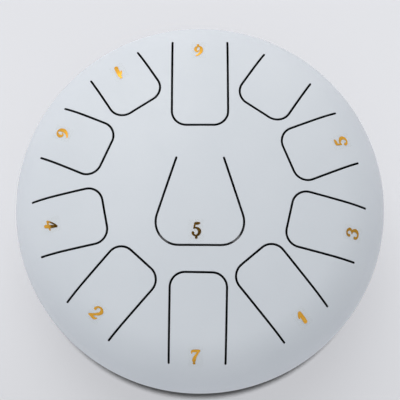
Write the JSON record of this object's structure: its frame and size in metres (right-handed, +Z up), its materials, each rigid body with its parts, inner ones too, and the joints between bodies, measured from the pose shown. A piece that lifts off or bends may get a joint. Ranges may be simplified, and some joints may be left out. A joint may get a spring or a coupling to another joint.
{
  "type": "steel tongue drum",
  "caption": "Round steel drum of two pressed shells, whose top is cut into numbered tongues that ring when struck, with a sound hole and rubber feet below.",
  "frame": {"origin": "on the floor under the drum's centre, at the base of the rubber feet", "axes": "+Z up, along the drum's axis from the feet to the crown; -Y towards the player, so the low 7 tongue is nearest and the low 6 tongue is farthest; +X to the player's right"},
  "size_m": [0.2542, 0.2542, 0.1249],
  "materials": {
    "painted_steel": "pale blue-grey satin powder coat",
    "foot_rubber": "matt moulded rubber",
    "zinc_plated_steel": "bright zinc plate",
    "sticker_film": "thin clear film",
    "gold_foil": "hot-stamped gold foil"
  },
  "bodies": {
    "shell": {"top_shell": "painted_steel", "bottom_shell": "painted_steel", "rim_weld": "painted_steel", "rubber_foot_1": "foot_rubber", "foot_washer_1": "zinc_plated_steel", "foot_screw_1": "zinc_plated_steel", "foot_nut_1": "zinc_plated_steel", "rubber_foot_2": "foot_rubber", "foot_washer_2": "zinc_plated_steel", "foot_screw_2": "zinc_plated_steel", "foot_nut_2": "zinc_plated_steel", "rubber_foot_3": "foot_rubber", "foot_washer_3": "zinc_plated_steel", "foot_screw_3": "zinc_plated_steel", "foot_nut_3": "zinc_plated_steel", "rubber_foot_4": "foot_rubber", "foot_washer_4": "zinc_plated_steel", "foot_screw_4": "zinc_plated_steel", "foot_nut_4": "zinc_plated_steel"},
    "tongue_low_6": {"tongue_low_6": "painted_steel", "sticker_film_low_6": "sticker_film", "sticker_number_low_6": "gold_foil"},
    "tongue_high_1": {"tongue_high_1": "painted_steel", "sticker_film_high_1": "sticker_film", "sticker_number_high_1": "gold_foil"},
    "tongue_mid_6": {"tongue_mid_6": "painted_steel", "sticker_film_mid_6": "sticker_film", "sticker_number_mid_6": "gold_foil"},
    "tongue_mid_4": {"tongue_mid_4": "painted_steel", "sticker_film_mid_4": "sticker_film", "sticker_number_mid_4": "gold_foil"},
    "tongue_mid_2": {"tongue_mid_2": "painted_steel", "sticker_film_mid_2": "sticker_film", "sticker_number_mid_2": "gold_foil"},
    "tongue_low_7": {"tongue_low_7": "painted_steel", "sticker_film_low_7": "sticker_film", "sticker_number_low_7": "gold_foil"},
    "tongue_mid_1": {"tongue_mid_1": "painted_steel", "sticker_film_mid_1": "sticker_film", "sticker_number_mid_1": "gold_foil"},
    "tongue_mid_3": {"tongue_mid_3": "painted_steel", "sticker_film_mid_3": "sticker_film", "sticker_number_mid_3": "gold_foil"},
    "tongue_mid_5": {"tongue_mid_5": "painted_steel", "sticker_film_mid_5": "sticker_film", "sticker_number_mid_5": "gold_foil"},
    "tongue_mid_7": {"tongue_mid_7": "painted_steel"},
    "tongue_low_5": {"tongue_low_5": "painted_steel", "sticker_film_low_5": "sticker_film", "sticker_number_low_5": "gold_foil"}
  },
  "joints": [
    {"name": "swing_low_6", "type": "hinge", "parent": "shell", "child": "tongue_low_6", "pos_m": [0, 0.1086, 0.10153], "axis": [1, 0, 0], "range_deg": [-1, 1], "stiffness_Nm_per_rad": 3.191, "springref_deg": -0.14},
    {"name": "swing_high_1", "type": "hinge", "parent": "shell", "child": "tongue_high_1", "pos_m": [-0.05803, 0.09144, 0.10177], "axis": [0.8443, 0.5358, 0], "range_deg": [-1, 1], "stiffness_Nm_per_rad": 0.651, "springref_deg": -0.23},
    {"name": "swing_mid_6", "type": "hinge", "parent": "shell", "child": "tongue_mid_6", "pos_m": [-0.09885, 0.04546, 0.10136], "axis": [0.4179, 0.9085, 0], "range_deg": [-1, 1], "stiffness_Nm_per_rad": 0.93, "springref_deg": -0.2},
    {"name": "swing_mid_4", "type": "hinge", "parent": "shell", "child": "tongue_mid_4", "pos_m": [-0.10845, -0.0201, 0.10008], "axis": [-0.1822, 0.9833, 0], "range_deg": [-1, 1], "stiffness_Nm_per_rad": 1.441, "springref_deg": -0.17},
    {"name": "swing_mid_2", "type": "hinge", "parent": "shell", "child": "tongue_mid_2", "pos_m": [-0.07376, -0.08106, 0.10069], "axis": [-0.7396, 0.673, 0], "range_deg": [-1, 1], "stiffness_Nm_per_rad": 1.998, "springref_deg": -0.16},
    {"name": "swing_low_7", "type": "hinge", "parent": "shell", "child": "tongue_low_7", "pos_m": [-0.0019, -0.10878, 0.10136], "axis": [-0.9998, 0.0175, 0], "range_deg": [-1, 1], "stiffness_Nm_per_rad": 2.639, "springref_deg": -0.15},
    {"name": "swing_mid_1", "type": "hinge", "parent": "shell", "child": "tongue_mid_1", "pos_m": [0.06966, -0.08331, 0.10153], "axis": [-0.7672, -0.6414, 0], "range_deg": [-1, 1], "stiffness_Nm_per_rad": 2.398, "springref_deg": -0.15},
    {"name": "swing_mid_3", "type": "hinge", "parent": "shell", "child": "tongue_mid_3", "pos_m": [0.1061, -0.0241, 0.10136], "axis": [-0.2215, -0.9751, 0], "range_deg": [-1, 1], "stiffness_Nm_per_rad": 1.583, "springref_deg": -0.17},
    {"name": "swing_mid_5", "type": "hinge", "parent": "shell", "child": "tongue_mid_5", "pos_m": [0.0984, 0.04177, 0.10284], "axis": [0.3907, -0.9205, 0], "range_deg": [-1, 1], "stiffness_Nm_per_rad": 1.11, "springref_deg": -0.19},
    {"name": "swing_mid_7", "type": "hinge", "parent": "shell", "child": "tongue_mid_7", "pos_m": [0.05907, 0.08958, 0.10254], "axis": [0.8348, -0.5505, 0], "range_deg": [-1, 1], "stiffness_Nm_per_rad": 0.729, "springref_deg": -0.22},
    {"name": "swing_low_5", "type": "hinge", "parent": "shell", "child": "tongue_low_5", "pos_m": [0.00011, 0.0243, 0.12305], "axis": [1, -0.0044, 0], "range_deg": [-1, 1], "stiffness_Nm_per_rad": 3.287, "springref_deg": -0.16}
  ]
}
